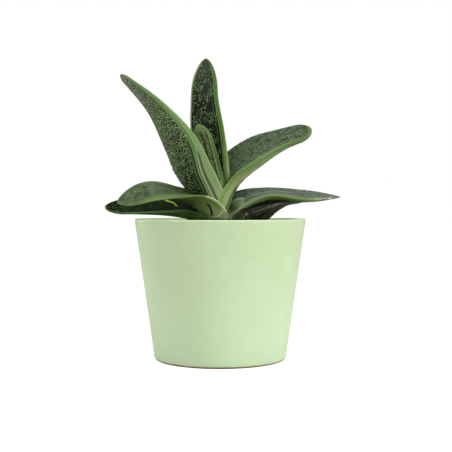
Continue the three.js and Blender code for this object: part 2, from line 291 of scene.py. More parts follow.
def meshPiece(name, points, faces, finish=None, fields=None, edges=()):
    mesh = bpy.data.meshes.new(name)
    mesh.from_pydata([tuple(point) for point in points], list(edges), faces)
    setFields(mesh, fields or {})
    mesh.polygons.foreach_set("use_smooth", np.ones(len(mesh.polygons), bool))
    if finish:
        mesh.materials.append(finish)
    mesh.update()
    turnOutward(mesh)
    piece = bpy.data.objects.new(name, mesh)
    bpy.context.scene.collection.objects.link(piece)
    return piece


def growOn(piece, tree, **values):
    # runs a geometry tree on the piece and keeps the result as its plain mesh
    modifier = piece.modifiers.new(tree.name, "NODES")
    modifier.node_group = tree
    for item in tree.interface.items_tree:
        if item.in_out == "INPUT" and item.name in values:
            modifier[item.identifier] = values[item.name]
    bpy.context.view_layer.update()
    evaluated = piece.evaluated_get(bpy.context.evaluated_depsgraph_get())
    result = bpy.data.meshes.new_from_object(evaluated)
    result.name = piece.name
    piece.modifiers.clear()
    piece.data = result
    result.polygons.foreach_set("use_smooth", np.ones(len(result.polygons), bool))
    turnOutward(result)
    return piece


def ringFaces(rings, columns):
    faces = []
    for ring in range(rings - 1):
        for column in range(columns):
            here, above = ring * columns, (ring + 1) * columns
            after = (column + 1) % columns
            faces.append((here + column, here + after, above + after, above + column))
    return faces


def dress(piece, node):
    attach(piece, "root")
    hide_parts(node)


# Camera

view = {"distance": 0.663, "height": 0.1086, "pictureWide": 452, "focalPixels": 945, "axisOffset": 5.8,
        "dip": math.radians(1.34), "sensor": 36}
turn = math.atan(view["axisOffset"] / view["focalPixels"])
lens = bpy.data.cameras.new("Camera")
lens.sensor_width = view["sensor"]
lens.lens = view["focalPixels"] * view["sensor"] / view["pictureWide"]
camera = bpy.data.objects.new("Camera", lens)
camera.location = (0, -view["distance"], view["height"])
level = math.cos(view["dip"])
gaze = Vector((math.sin(turn) * level, math.cos(turn) * level, -math.sin(view["dip"])))
camera.rotation_euler = gaze.to_track_quat("-Z", "Y").to_euler()
bpy.context.scene.collection.objects.link(camera)
bpy.context.scene.camera = camera
print("camera placed")


# Leaves

# Six stations from foot to tip in mm: place, the way the upper face looks, width, thickness,
# curl, and how far in from its margin the keel runs, as in the solids. keelSide is the side that
# the keel lies to, and tip is how long the rounding is and how blunt.
leafForms = {
    "leaf_young_centre": dict(keelSide=1, tip=(13, 0.55), stations=[
        ((1, -1, 97), (0.3, 1, 0), 8, 4, 0.3, 1),
        ((1.5, 0, 108), (0.3, 1, 0), 10, 5, 0.2, 1),
        ((-2, 2, 121), (0.3, 1, 0), 13, 6, 0, 1),
        ((-7, 3, 136), (0.3, 1, 0.1), 15, 5, 0, 1),
        ((-11, 3, 150), (0.3, 1, 0.1), 15, 4, 0, 0.8),
        ((-15.5, 4, 164.5), (0.3, 1, 0.1), 14, 3, 0, 0.5),
    ]),
    "leaf_back_upright": dict(keelSide=-1, tip=(22, 0.62), stations=[
        ((1.5, 3.5, 95), (-0.2, -1, 0), 12, 5, 0.5, 1),
        ((1, 4, 107), (-0.2, -1, 0.1), 16, 7, 0.3, 1.5),
        ((-4.5, 7.5, 132.5), (-0.3, -1, 0.1), 22.5, 8.5, 0.05, 1.5),
        ((-9.4, 12, 160), (-0.35, -1, 0.1), 25.2, 7, 0, 1.5),
        ((-11.5, 17, 186.5), (-0.35, -1, 0.1), 20.8, 5.5, 0, 1.5),
        ((-10.3, 21, 213.5), (-0.3, -1, 0.1), 18, 4, 0, 1),
    ]),
    "leaf_left_upper": dict(keelSide=1, tip=(5, 0.5), stations=[
        ((-1, -1, 93), (0.6, 0.8, 0), 14, 4, 0.6, 5),
        ((-4, -2, 106), (0.6, 0.8, 0.1), 20.5, 6.5, 0.4, 6.5),
        ((-17, -7, 128.5), (0.55, 0.85, 0.2), 31, 10, 0.1, 6),
        ((-27.5, -11, 151), (0.45, 0.9, 0.3), 27.5, 8, 0, 2.5),
        ((-45, -14, 175.5), (0.4, 0.9, 0.3), 14.5, 5, 0, 1),
        ((-68, -16, 196.8), (0.35, 0.9, 0.3), 4.6, 2.4, 0, 0.8),
    ]),
    "leaf_right_upper": dict(keelSide=-1, tip=(11, 0.5), stations=[
        ((2.5, 0, 92.5), (-1, -0.1, 0), 14, 3.5, 0.7, 0),
        ((0.1, 0.6, 105), (-1.1, -0.11, 0.2), 20.5, 7.5, 0.46, 2.3),
        ((4.3, 8, 128.8), (-0.6, -0.61, 0.79), 28.8, 9.3, 0.29, 1.5),
        ((22.5, 10, 146.1), (-0.52, -0.87, 0.48), 23.8, 7.5, 0.11, -0.6),
        ((44, 13, 156), (-0.35, -0.95, 0.35), 15, 4.5, 0, -1),
        ((65.5, 14, 162), (-0.35, -0.95, 0.35), 12.5, 3, 0, -0.5),
    ]),
    "leaf_left_lower": dict(keelSide=-1, tip=(18, 0.55), stations=[
        ((-7.5, -1, 92), (1, 0, 0.1), 18, 6, 0.9, 4),
        ((-6.5, -2.5, 103), (0.9, 0, 0.45), 27.5, 10, 0.8, 4),
        ((-12, -7, 113.5), (0.5, 0, 1), 24, 10.5, 0.2, 4),
        ((-28, -10, 117), (0.1, -0.35, 0.9), 21, 7, 0, 4),
        ((-49, -13, 117.5), (-0.15, -0.7, 0.75), 22, 5.5, 0, 4),
        ((-70.5, -15, 109.5), (-0.2, -0.8, 0.65), 16, 4, 0, 4),
    ]),
    "leaf_right_lower": dict(keelSide=1, tip=(22, 0.7), stations=[
        ((11, -3.5, 91.5), (-1, 0, 0.1), 27, 6, 0.8, 8),
        ((10.5, -4.5, 101.5), (-0.85, -0.3, 0.5), 30, 8.5, 0.75, 8),
        ((14.5, -6, 111.5), (-0.4, -0.6, 1), 25.5, 10, 0.12, 8),
        ((34.5, -7, 117), (0, -0.3, 1), 21.5, 9.5, 0.03, 8),
        ((59, -7, 115), (0.05, -0.43, 1), 18.5, 5.5, 0, 8),
        ((83.5, -7, 113.5), (0.05, -0.45, 1), 10, 2.5, 0, 5),
    ]),
    "leaf_left_lowest": dict(keelSide=1, tip=(14, 0.6), stations=[
        ((-10, 0, 91), (1, 0, 0.2), 22, 5, 0.5, 3),
        ((-12.5, 0, 97), (0.8, 0, 0.6), 25, 7.5, 0.35, 3),
        ((-20.5, 3, 106.5), (0.15, -0.45, 1), 23, 8, 0.15, 3),
        ((-36, 6, 108.2), (0, -0.6, 0.85), 19.5, 6, 0, 3),
        ((-59, 8, 107.5), (0, -0.7, 0.75), 16.5, 4.5, 0, 3),
        ((-82, 8, 106.5), (0, -0.75, 0.7), 12.5, 3.5, 0, 2),
    ]),
    "leaf_right_lowest": dict(keelSide=1, tip=(16, 0.6), stations=[
        ((11.5, 2, 91), (-1, 0, 0.2), 22, 5, 0.5, 6),
        ((11.6, 5, 97), (-0.8, -0.2, 0.6), 23, 8, 0.3, 6),
        ((20, 12, 101.3), (-0.29, -0.42, 1), 22.5, 13, 0.1, 6.5),
        ((34.8, 20, 109), (-0.1, -0.1, 1), 20.6, 11, 0, 6.5),
        ((49, 27, 110.9), (0, 0, 1), 18.5, 4.1, 0, 4),
        ((63, 33, 112), (0, -0.1, 1), 12, 3.5, 0, 4),
    ]),
}

# What each leaf shows. Colours are screen colours; two are the dark and the light of a face, and
# three of them, or three numbers, stand for foot, middle and tip. Widths are in mm: bandUpper
# beside the keel's margin, bandThin and bandUnder beside the thin margin above and below,
# bandLower beside the keel, bandSide on the narrow side face; soft blurs the upper two. gapLower
# keeps warts off the keel. spots, pits and patches are how strongly flat spots, dark pits and wide
# patches show, footDark darkens the foot, haze dulls the leaf towards its tip, and rim is a tone,
# a width and a strength beside the thin margin.
# Each line has its edge, place, width, colour, strength, and the share of the leaf where it starts
# and ends; a place of two numbers slants. Lines on the side face run from the margin (side) or the
# keel (crest). A seventh number breaks a line into flecks.
usualLook = dict(
    clumpSize=6, spots=0.3, soft=1, shine=0.46, gloss=0.12, bandThin=(0.8, 0.7, 0.6),
    bandLower=(1, 0.8, 0.6), bandSide=(99, 99, 99), gapLower=(1, 0.8, 0.6))

leafLooks = {
    "leaf_young_centre": dict(
        seed=3, spacing=1.4, width=1.5, height=0.34, upperCover=0.7, lowerCover=0.95, start=0.3,
        clump=0.55, clumpSize=5, spots=0.5, pits=2.2, patches=1.6, footDark=0.2, paleTo=0.42, paleFace=0.3,
        tipReach=1.2, streak=0.5, bandUpper=(2.5, 1.6, 1), bandThin=(1.2, 1, 0.8), bandUnder=(0.9, 1.1, 1),
        bandLower=(0.8, 0.6, 0.5), gapLower=(2.6, 2.2, 1.2),
        upper=((30, 44, 22), (66, 86, 46)), lower=((40, 56, 28), (156, 182, 118)),
        side=((104, 128, 72), (34, 74, 10), (80, 104, 56)),
        band=((104, 128, 72), (60, 90, 34), (84, 108, 58)),
        wart=((112, 132, 80), (124, 144, 92), (134, 148, 108)), base=(138, 156, 102), tip=(176, 184, 158),
        lines=[
            ("keel", 0.2, 0.5, (128, 148, 96), 0.8, 0, 1),
            ("keel", 1.5, 0.9, (22, 34, 14), 0.8, 0.2, 0.94),
            ("keel", 5.4, 1.5, (16, 24, 10), 0.85, 0.2, 0.93),
            ("side", 0.4, 0.8, (120, 144, 88), 0.6, 0.1, 1)]),
    "leaf_back_upright": dict(
        seed=5, spacing=1.45, width=1.8, height=0.42, upperCover=0.92, lowerCover=0.9, start=0.16,
        clump=0.9, clumpSize=5.5, spots=0.25, pits=1.2, patches=1.4, footDark=0.3, paleTo=0.36,
        paleFace=0.1, tipReach=1.2, streak=0.3, bandUpper=(5.5, 3.2, 2.2), bandThin=(2.6, 2.4, 1.6),
        bandUnder=(1, 1, 1), bandLower=(2, 1.4, 1), gapLower=(2, 1.4, 1),
        upper=((7, 15, 8), (27, 41, 21)), lower=((20, 32, 16), (42, 58, 30)),
        side=((162, 190, 120), (84, 122, 42), (84, 114, 58)),
        band=((160, 188, 118), (80, 118, 40), (82, 108, 56)),
        wart=((94, 114, 70), (104, 124, 80), (106, 122, 90)), base=(146, 164, 110), tip=(86, 92, 60),
        haze=((34, 46, 34), (82, 96, 74)), hazeBy=0.7, hazeFrom=0.72,
        lines=[
            ("margin", 0.5, 0.7, (124, 152, 88), 0.8, 0.1, 0.97),
            ("margin", 1.6, 1.1, (10, 18, 8), 0.85, 0.1, 0.95),
            ("margin", 2.5, 0.5, (96, 120, 70), 0.5, 0.25, 0.9),
            ("thin", 1.2, 1.7, (142, 156, 100), 0.85, 0.1, 0.99)]),
    "leaf_left_upper": dict(
        seed=8, spacing=1.45, width=2.1, height=0.4, upperCover=0.9, lowerCover=1, start=0.06, clump=0.3,
        clumpSize=4, spots=0.2, pits=2.4, patches=1.4, footDark=0.55, paleTo=0.26, paleFace=0.04,
        tipReach=3.5, streak=0.12, shine=0.48, bandUpper=(4, 2, 1), bandUnder=(0.4, 0.4, 0.4),
        bandLower=(0.4, 0.3, 0.3), bandSide=(99, 8.5, 4.2), gapLower=(4.6, 2.2, 0.2),
        upper=((22, 36, 16), (42, 60, 30)), lower=((8, 20, 7), (40, 58, 28)),
        side=((124, 144, 98), (98, 122, 74), (80, 104, 56)),
        band=((140, 162, 110), (108, 134, 80), (80, 104, 56)),
        wart=((80, 102, 56), (116, 136, 90), (136, 148, 118)), base=(156, 172, 124), tip=(98, 112, 80),
        rim=((122, 132, 108), 14, 0.7), haze=((46, 60, 38), (116, 126, 102)), hazeBy=0.65, hazeFrom=0.42,
        lines=[
            ("crest", 0.9, 0.8, (36, 58, 28), 0.9, 0, 0.6),
            ("keel", 0.1, 0.7, (78, 100, 64), 0.8, 0, 0.6),
            ("keel", 0.9, 0.8, (26, 42, 20), 0.9, 0, 0.6),
            ("keel", 2.2, 1.5, (84, 102, 66), 0.85, 0, 0.55),
            ("keel", 3.5, 0.9, (22, 38, 16), 0.9, 0, 0.52),
            ("keel", 4.5, 0.9, (74, 94, 58), 0.7, 0, 0.46),
            ("crest", 1.9, 0.9, (150, 160, 116), 0.7, 0, 0.44),
            ("crest", 2.9, 0.7, (112, 92, 60), 0.6, 0, 0.34),
            ("crest", (4.6, 3.3), 1.6, (44, 64, 30), 0.9, 0, 0.46),
            ("crest", 1.3, 2.2, (62, 104, 30), 0.75, 0.42, 0.97),
            ("side", 0.5, 1, (124, 146, 94), 0.5, 0.2, 0.95),
            ("under", 0.4, 0.7, (126, 128, 110), 0.5, 0.1, 0.95)]),
    "leaf_right_upper": dict(
        seed=13, spacing=1.35, width=1.7, height=0.3, upperCover=0.7, lowerCover=0.8, start=0.16,
        clump=0.45, clumpSize=5, spots=0.35, pits=1.1, patches=2.2, footDark=0.3, paleTo=0.34,
        paleFace=0.3, tipReach=5, streak=0.5, gloss=0.14, bandUpper=(6, 4.2, 2.4),
        bandThin=(0.8, 0.8, 0.8), bandUnder=(1, 1, 1), bandLower=(0.8, 0.6, 0.5), bandSide=(7.2, 99, 99),
        upper=((22, 35, 24), (96, 110, 84)), lower=((22, 34, 18), (48, 64, 36)),
        side=((146, 166, 110), (122, 144, 88), (96, 118, 76)),
        band=((108, 140, 66), (94, 124, 60), (92, 116, 70)),
        wart=((84, 104, 66), (90, 110, 72), (96, 116, 78)), base=(142, 160, 104), tip=(110, 132, 88),
        lines=[
            ("side", 1.3, 2.4, (92, 136, 48), 0.65, 0, 0.36),
            ("margin", 0.4, 0.8, (172, 178, 132), 0.7, 0, 0.25),
            ("crest", 0.7, 1.8, (56, 74, 44), 0.8, 0.05, 0.3),
            ("crest", 1.6, 2.6, (158, 170, 128), 0.75, 0.3, 0.56),
            ("crest", 0.5, 0.8, (70, 84, 52), 0.6, 0.3, 0.9),
            ("margin", 2.4, 0.7, (46, 60, 40), 0.6, 0.7, 0.97)]),
    "leaf_left_lower": dict(
        seed=21, spacing=1.7, width=1.4, height=0.2, upperCover=0.5, lowerCover=0.1, start=0.42, clump=0.8,
        pits=2, patches=1.9, footDark=0, soft=9, paleTo=0.36, paleFace=0.7, tipReach=2, streak=1,
        gloss=0.1, bandUpper=(12, 3.5, 0.6), bandThin=(14, 8, 1.4), bandUnder=(11, 4, 1),
        bandLower=(9, 4, 1), gapLower=(9, 4, 1),
        upper=((32, 53, 22), (98, 115, 83)), lower=((72, 92, 46), (124, 146, 84)),
        side=((130, 152, 92), (106, 134, 70), (94, 116, 68)),
        band=((130, 154, 88), (108, 138, 68), (96, 118, 72)),
        wart=((96, 114, 76), (104, 120, 86), (108, 124, 92)), base=(156, 174, 120), tip=(112, 126, 98),
        lines=[
            ("thin", 0.8, 0.5, (126, 146, 96), 0.5, 0.3, 0.97),
            ("thin", 1.2, 1.9, (196, 198, 166), 0.95, 0.15, 0.3),
            ("under", 1.8, 2.8, (94, 138, 42), 0.7, 0.15, 0.36),
            ("under", (9, -0.4), 3.6, (150, 166, 102), 0.8, 0.068, 0.143),
            ("under", (8.6, 0), 2.2, (196, 202, 160), 0.95, 0.094, 0.168),
            # a near-black line on the foot's underside: painted shade in a crease
            ("under", (11.5, 4.6), 1.8, (20, 28, 12), 0.95, 0.1, 0.28)]),
    "leaf_right_lower": dict(
        seed=34, spacing=1.8, width=1.2, height=0.2, upperCover=0.35, lowerCover=0.7, start=0.34,
        clump=0.5, clumpSize=7, pits=1, patches=1.3, footDark=0.25, soft=2, paleTo=0.22, paleFace=0.7,
        tipReach=3, streak=1, shine=0.4, gloss=0.08, bandUpper=(0.8, 0.7, 0.6), bandThin=(7, 6.5, 2),
        bandUnder=(1.5, 3.4, 1.4), bandSide=(7, 1.6, 0.8),
        # upper is grey: painted sheen of the white surroundings on the glossy top, over the leaf's own
        # dark green
        upper=((38, 50, 38), (104, 114, 96)), lower=((14, 21, 11), (34, 45, 27)),
        side=((144, 162, 114), (90, 112, 60), (78, 100, 54)),
        band=((124, 140, 108), (96, 124, 54), (88, 112, 58)),
        wart=((110, 120, 98), (116, 126, 106), (116, 128, 106)), base=(160, 176, 138), tip=(100, 110, 88),
        lines=[
            # The next four lines, like the pale base, lighten the foot's upper face deep in its hollow:
            # painted light against the hollow's shade, over the foot's pale collar.
            ("thin", (14, 7.5), 11, (122, 136, 102), 0.95, 0, 0.27),
            ("thin", 24, 12, (178, 192, 150), 0.95, 0, 0.165),
            ("thin", (25, 11.5), 8, (118, 134, 102), 0.95, 0.12, 0.27),
            ("thin", (28, 13), 1.5, (152, 170, 128), 0.8, 0.13, 0.27),
            ("under", 12, 14, (30, 30, 20), 0.85, 0, 0.34),
            ("under", 10, 10, (112, 104, 86), 0.8, 0, 0.32, 1),
            # The next four lines are the top's long streaks: the dark ones the leaf's own, the grey ones
            # painted sheen.
            ("thin", 7.6, 0.9, (44, 56, 38), 0.6, 0.25, 0.8),
            ("thin", 9.4, 0.9, (130, 136, 124), 0.6, 0.28, 0.7),
            ("thin", 11, 2, (40, 52, 40), 0.6, 0.25, 0.75),
            ("thin", 13.6, 1.1, (126, 132, 120), 0.6, 0.22, 0.66),
            ("thin", 2.4, 4.2, (214, 220, 206), 0.95, 0.74, 0.97, 1),
            ("thin", 1.9, 0.9, (216, 222, 208), 0.9, 0.795, 0.812),
            ("thin", 5.6, 0.8, (196, 204, 186), 0.8, 0.81, 0.824),
            ("thin", 2.6, 0.8, (216, 222, 208), 0.9, 0.868, 0.89),
            ("thin", 0.8, 0.8, (206, 214, 196), 0.8, 0.9, 0.94)]),
    "leaf_left_lowest": dict(
        seed=55, spacing=1.5, width=1.4, height=0.26, upperCover=0.8, lowerCover=0.7, start=0.4, clump=0.7,
        pits=1.2, patches=1.5, footDark=0.45, paleTo=0.34, paleFace=0.05, tipReach=1.6, streak=0.6,
        shine=0.6, gloss=0.03, bandUpper=(5, 2.6, 1.2), bandUnder=(0.6, 0.6, 0.6),
        # Its faces are near black: painted shade, deepest on the upper face under the leaf above.
        upper=((5, 12, 4), (32, 50, 24)), lower=((5, 10, 4), (20, 30, 14)),
        side=((112, 148, 78), (104, 138, 72), (76, 104, 52)),
        band=((108, 142, 74), (102, 136, 70), (76, 104, 52)),
        wart=((44, 60, 32), (58, 78, 42), (78, 96, 60)), base=(40, 58, 24), tip=(150, 158, 124),
        lines=[
            ("thin", (13.4, 8.2), 1.9, (176, 184, 60), 0.95, 0.355, 0.403),
            ("thin", (8.4, 4.8), 1.5, (176, 184, 60), 0.95, 0.397, 0.485)]),
    "leaf_right_lowest": dict(
        seed=89, spacing=1.4, width=1.3, height=0.26, upperCover=0.8, lowerCover=0.6, start=0.2, clump=0.6,
        spots=0.4, pits=2, patches=1.5, footDark=0, paleTo=0.3, paleFace=0.1, tipReach=2, streak=0.6,
        shine=0.6, gloss=0.05, bandUpper=(3, 1.6, 1), bandUnder=(0.6, 0.6, 0.6), bandSide=(1.6, 1.2, 1),
        upper=((14, 19, 12), (44, 52, 38)), lower=((22, 28, 20), (82, 92, 70)),
        side=((110, 118, 94), (96, 106, 82), (70, 80, 58)),
        band=((96, 106, 76), (70, 80, 56), (60, 72, 48)), wart=((86, 92, 66), (94, 100, 74), (90, 98, 74)),
        base=(112, 120, 90), tip=(90, 90, 66),
        lines=[
            ("thin", (14.6, 7.2), 2, (126, 132, 108), 0.8, 0.33, 0.44),
            ("thin", (7.5, 1), 2.4, (130, 138, 114), 0.85, 0.42, 0.48),
            ("thin", 0.9, 1.4, (136, 144, 120), 0.9, 0.46, 0.8),
            ("thin", 0, 3, (28, 33, 24), 0.9, 0.13, 0.42),
            ("under", 0, 3, (28, 33, 24), 0.9, 0.13, 0.42),
            ("under", (4.2, 0.2), 1.9, (176, 180, 154), 0.95, 0.082, 0.145),
            ("thin", 2.4, 3, (198, 186, 130), 0.9, 0.36, 0.6, 1),
            ("under", 1.4, 2.4, (190, 176, 120), 0.9, 0.4, 0.6, 1),
            ("under", 2.2, 2.4, (122, 60, 36), 0.9, 0.32, 0.41)]),
}

# marginAt, keelAt and thinAt count along the corners of leafOutline.
leafMake = {"ringStep": 1.0, "spanSamples": 4, "tipCrowding": 1.35, "channelDepth": 0.06,
            "marginAt": 9.25, "keelAt": 11.25, "thinAt": 17.75, "ripple": 0.16, "leastTip": 0.12,
            "fibreSpan": 56, "wartSides": 7, "wartRings": 4, "mostWarts": 2.2e6}


def stationCurve(values, t):
    # uniform Catmull-Rom through the stations, with mirrored end points
    points = np.asarray(values, float)
    points = np.vstack([2 * points[0] - points[1], points, 2 * points[-1] - points[-2]])
    spans = len(points) - 3
    at = np.clip(t, 0, 1) * spans
    span = np.minimum(np.floor(at).astype(int), spans - 1)
    f = (at - span)[:, None]
    before, first, second, after = (points[span + i] for i in range(4))
    return 0.5 * (2 * first + (second - before) * f
                  + (2 * before - 5 * first + 4 * second - after) * f ** 2
                  + (3 * first - before - 3 * second + after) * f ** 3)


def unit(vectors):
    return vectors / np.linalg.norm(vectors, axis=-1, keepdims=True)


def leafOutline(half, thick, inset, curl):
    # control points of the closed outline across the leaf: x across, y up
    keel = half - inset * min(1, half / 8)
    channel = leafMake["channelDepth"] * thick
    upper = [(-1, -0.1 * thick), (-1, 0), (-0.84, 0.03 * thick), (-0.62, 0), (-0.33, -channel),
             (0, -1.3 * channel), (0.33, -channel), (0.66, 0), (0.92, 0.02 * thick), (1, -0.02 * thick)]
    corners = [(across * half, up) for across, up in upper]
    corners += [((half + keel) / 2, -0.5 * thick), (keel, -0.9 * thick)]
    corners += [(share * (keel + half) - half, down * thick) for share, down in
                [(0.93, -1), (0.8, -0.97), (0.61, -0.84), (0.42, -0.66), (0.24, -0.44), (0.08, -0.25)]]
    corners = np.array(corners)
    corners[:, 1] += curl * corners[:, 0] ** 2 / half
    return corners


def roundedOutline(corners, samples):
    # closed uniform cubic B-spline through the corners' hull
    f = (np.arange(samples) / samples)[None, :, None]
    a, b, c, d = (np.roll(corners, 1 - i, axis=0)[:, None, :] for i in range(4))
    curve = ((1 - f) ** 3 * a + (3 * f ** 3 - 6 * f ** 2 + 4) * b
             + (3 * f + 3 * f ** 2 - 3 * f ** 3 + 1) * c + f ** 3 * d) / 6
    return curve.reshape(-1, 2)


def between(values, share):
    return np.interp(share, [0, 0.5, 1], values)


def leafRings(form):
    # along the leaf: its length, and for each ring its share of it, half width, frame and outline
    places, facings = zip(*(station[:2] for station in form["stations"]))
    table = np.linspace(0, 1, 1201)
    track = stationCurve(places, table)
    walked = np.concatenate([[0], np.cumsum(np.linalg.norm(np.diff(track, axis=0), axis=1))])
    length = walked[-1]
    steps = round(length / leafMake["ringStep"])
    along = np.minimum(1 - (1 - np.arange(steps + 1) / steps) ** leafMake["tipCrowding"], 0.9995)
    t = np.interp(along * length, walked, table)
    tangent = unit(stationCurve(places, np.minimum(t + 1e-4, 1))
                   - stationCurve(places, np.maximum(t - 1e-4, 0)))
    facing = stationCurve(facings, t)
    up = unit(facing - (facing * tangent).sum(1, keepdims=True) * tangent)
    across = np.cross(up, tangent) * form["keelSide"]
    sizes = [(width / 2, *rest) for _, _, width, *rest in form["stations"]]
    half, thick, curl, inset = stationCurve(sizes, t).T
    tipLength, tipPower = form["tip"]
    narrowing = (1 - np.maximum(0, 1 - length * (1 - along) / tipLength) ** 2) ** tipPower
    half = np.maximum(half * narrowing, leafMake["leastTip"])
    thick = np.maximum(thick * narrowing ** 0.6, 2 * leafMake["leastTip"])
    outlines = np.array([roundedOutline(leafOutline(*ring), leafMake["spanSamples"])
                         for ring in zip(half, thick, inset, curl)])
    return length, along, half, (stationCurve(places, t), across, up), outlines


def skinNumbers(length, along, outlines, look):
    # what the shader and the warts read at each point, and how far round its ring it lies
    columns = outlines.shape[1]
    marginAt, keelAt, thinAt = (
        round(leafMake[key] * leafMake["spanSamples"]) for key in ("marginAt", "keelAt", "thinAt"))
    hops = np.linalg.norm(np.roll(outlines, -1, axis=1) - outlines, axis=2)
    around = np.concatenate([np.zeros((len(outlines), 1)), np.cumsum(hops, axis=1)], axis=1)
    girth = around[:, -1:]
    around = around[:, :-1]
    column = np.arange(columns)[None, :] + np.zeros((len(outlines), 1))
    share = np.repeat(along[:, None], columns, axis=1)
    skin = {"share": share, "fromTip": length * (1 - share), "around": around, "girth": girth,
            "column": column / columns,
            "upperFace": ((column <= marginAt) | (column >= thinAt)).astype(float),
            "sideFace": ((column > marginAt) & (column <= keelAt)).astype(float)}
    for key, at in ("fromMargin", marginAt), ("fromKeel", keelAt), ("fromThin", thinAt):
        gap = np.abs(around - around[:, at:at + 1])
        skin[key] = np.minimum(gap, girth - gap)
    for key in ("bandUpper", "bandThin", "bandUnder", "bandLower", "bandSide"):
        skin[key] = between(look[key], share)
    return skin


def wartCover(skin, skinAt, look):
    # how thick the warts stand: in clumps, off the bands, from the leaf's start to its tip
    share, margin, thin = skin["share"], skin["fromMargin"], skin["fromThin"]
    clumps = softNoise(skinAt, look["clumpSize"], look["seed"]) * 0.7 + softNoise(
        skinAt, look["clumpSize"] * 0.45, look["seed"] + 2) * 0.3
    clumps = smoothRise(0.36, 0.56, clumps).reshape(share.shape)
    above = skin["upperFace"] * look["upperCover"] * smoothRise(0.2, 1.0, margin - skin["bandUpper"])
    above *= smoothRise(0.1, 0.9, thin - skin["bandThin"])
    below = (1 - skin["upperFace"]) * look["lowerCover"] * smoothRise(0.2, 1.0, thin - skin["bandUnder"])
    offKeel = smoothRise(0.0, 0.7, skin["fromKeel"] - between(look["gapLower"], share))
    below *= np.where(skin["sideFace"] > 0, smoothRise(0.2, 1.0, margin - skin["bandSide"]),
                      np.where(skin["bandSide"] < skin["girth"] / 6, 1, offKeel))
    start = smoothRise(look["start"], look["start"] + 0.14, share)
    return ((above + below) * start * ((1 - look["clump"]) + look["clump"] * clumps)
            * smoothRise(0.5, 2.5, skin["fromTip"]))


def leafSkin(name, form, look, finish):
    length, along, half, (middle, across, up), outlines = leafRings(form)
    rings, columns = outlines.shape[:2]
    skin = skinNumbers(length, along, outlines, look)
    skinAt = np.stack([skin["share"].ravel() * length, skin["around"].ravel()], 1)
    skin["wartCover"] = wartCover(skin, skinAt, look)
    ripple = leafMake["ripple"] * smoothRise(2, 6, half)[:, None] * (
        softNoise(skinAt, 7.0, look["seed"] + 1).reshape(rings, columns) - 0.5) * 2
    ripple *= np.where(skin["upperFace"] > 0, 1, -1) * (1 - skin["sideFace"])
    outlines[:, :, 1] += ripple * smoothRise(0.5, 3, np.minimum(skin["fromMargin"], skin["fromThin"]))
    points = middle[:, None] + across[:, None] * outlines[:, :, :1] + up[:, None] * outlines[:, :, 1:]
    ends = [points[0].mean(0), points[-1].mean(0)]
    points = np.vstack([points.reshape(-1, 3), ends]) * mm
    faces = ringFaces(rings, columns)
    foot, tip, last = len(points) - 2, len(points) - 1, (rings - 1) * columns
    for j in range(columns):
        after = (j + 1) % columns
        faces += [(after, j, foot), (last + j, last + after, tip)]
    atEnds = {"share": [0, 1], "fromTip": [length, 0]}
    del skin["around"], skin["girth"]
    skin = {key: np.concatenate([values.ravel(), atEnds.get(key, [0, 0])])
            for key, values in skin.items()}
    fibre = skin.pop("column") * leafMake["fibreSpan"]
    leafOwn = np.full(len(points), look["seed"] * 3.7)
    skin["skinPlace"] = np.stack([skin["share"] * length, fibre, leafOwn], 1)
    return meshPiece(name, points, faces, finish, skin)


